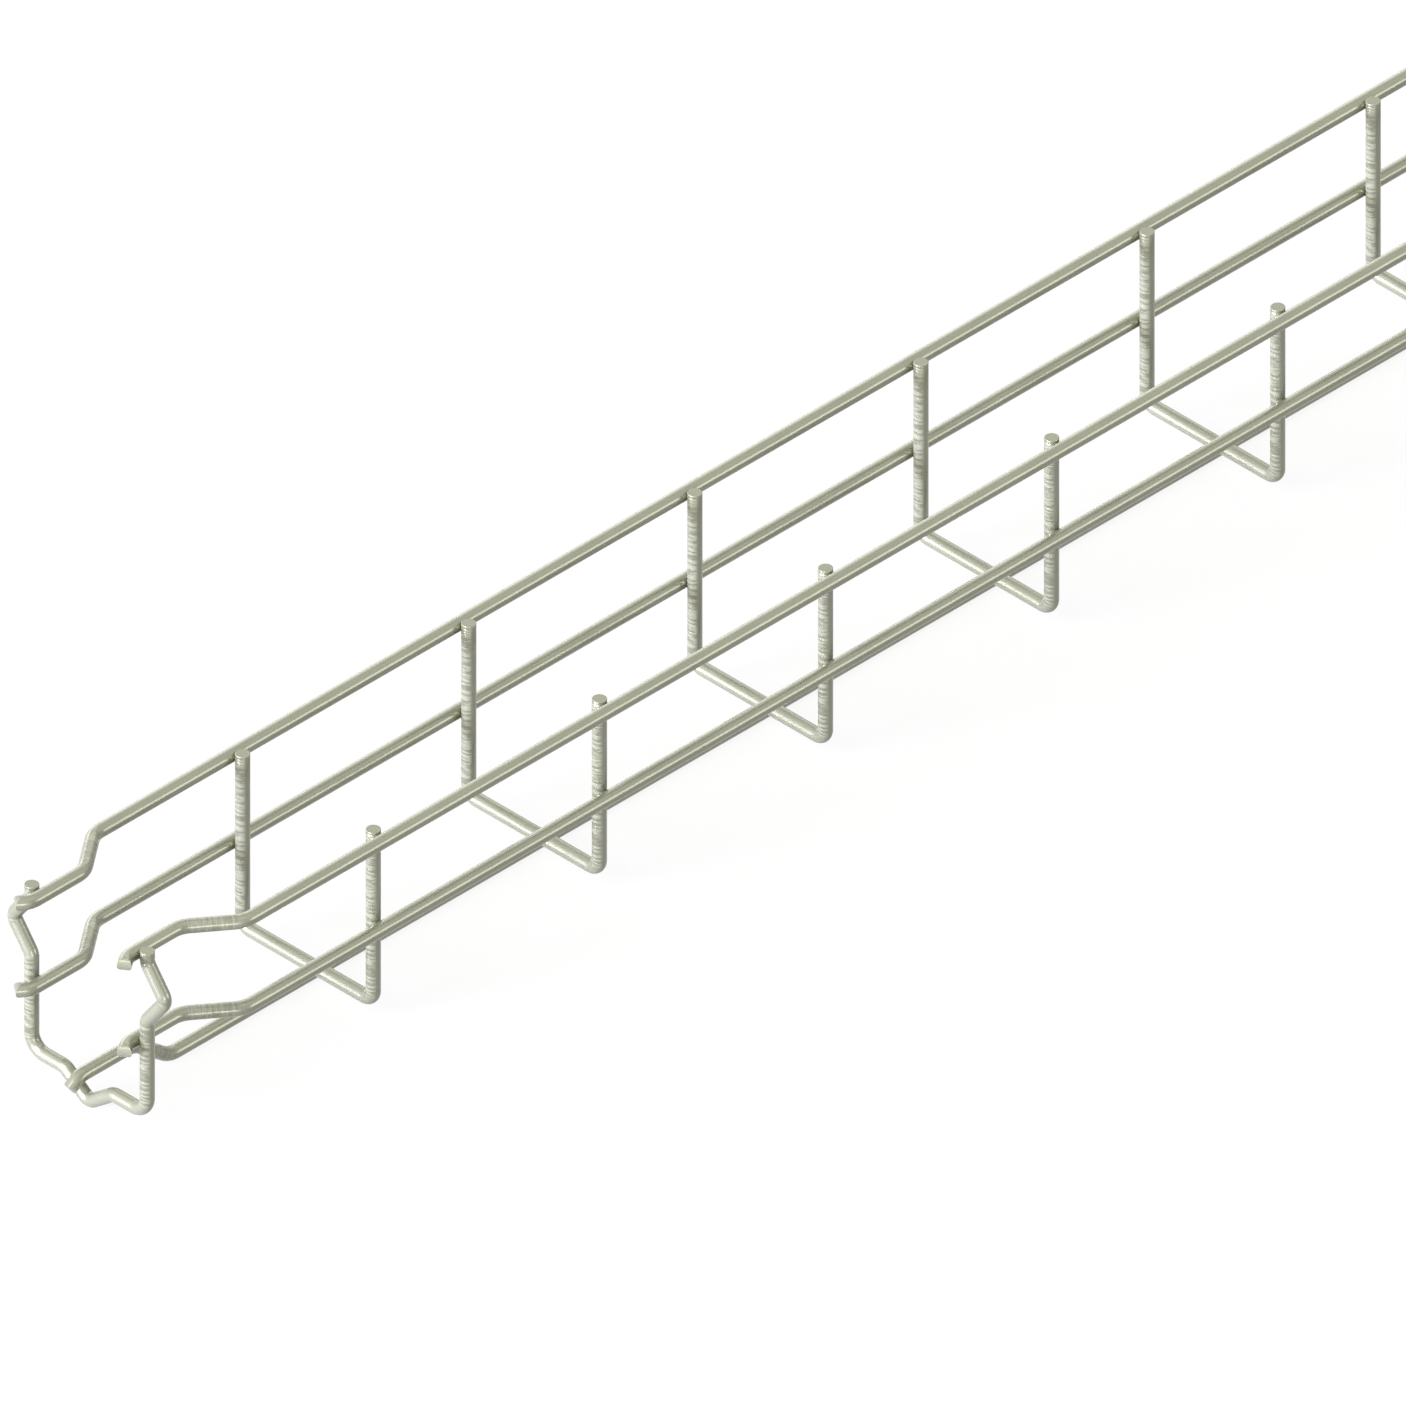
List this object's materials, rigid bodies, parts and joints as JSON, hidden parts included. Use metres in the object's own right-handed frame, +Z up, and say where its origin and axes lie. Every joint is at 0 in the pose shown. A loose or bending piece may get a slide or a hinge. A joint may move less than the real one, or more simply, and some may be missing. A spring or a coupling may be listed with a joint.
{
  "type": "wire mesh cable basket",
  "caption": "Straight length of welded steel wire cable basket: long wires outside U-shaped cross wires, one end stepped in to couple with the next length.",
  "frame": {"origin": "middle of the whole length, on the level that the bottom wire rests on", "axes": "+X along the basket from the coupling end to the plain end, +Y to the left, +Z up"},
  "size_m": [3.05, 0.0714, 0.0726],
  "materials": {
    "galvanised_wire": "satin"
  },
  "bodies": {
    "root": {"long_wire_top_left": "galvanised_wire", "long_wire_top_right": "galvanised_wire", "long_wire_low_left": "galvanised_wire", "long_wire_low_right": "galvanised_wire", "long_wire_bottom": "galvanised_wire", "coupling_cross_wire": "galvanised_wire", "cross_wire_01": "galvanised_wire", "cross_wire_02": "galvanised_wire", "cross_wire_03": "galvanised_wire", "cross_wire_04": "galvanised_wire", "cross_wire_05": "galvanised_wire", "cross_wire_06": "galvanised_wire", "cross_wire_07": "galvanised_wire", "cross_wire_08": "galvanised_wire", "cross_wire_09": "galvanised_wire", "cross_wire_10": "galvanised_wire", "cross_wire_11": "galvanised_wire", "cross_wire_12": "galvanised_wire", "cross_wire_13": "galvanised_wire", "cross_wire_14": "galvanised_wire", "cross_wire_15": "galvanised_wire", "cross_wire_16": "galvanised_wire", "cross_wire_17": "galvanised_wire", "cross_wire_18": "galvanised_wire", "cross_wire_19": "galvanised_wire", "cross_wire_20": "galvanised_wire", "cross_wire_21": "galvanised_wire", "cross_wire_22": "galvanised_wire", "cross_wire_23": "galvanised_wire", "cross_wire_24": "galvanised_wire", "cross_wire_25": "galvanised_wire", "cross_wire_26": "galvanised_wire", "cross_wire_27": "galvanised_wire", "cross_wire_28": "galvanised_wire", "cross_wire_29": "galvanised_wire", "cross_wire_30": "galvanised_wire"}
  },
  "joints": []
}
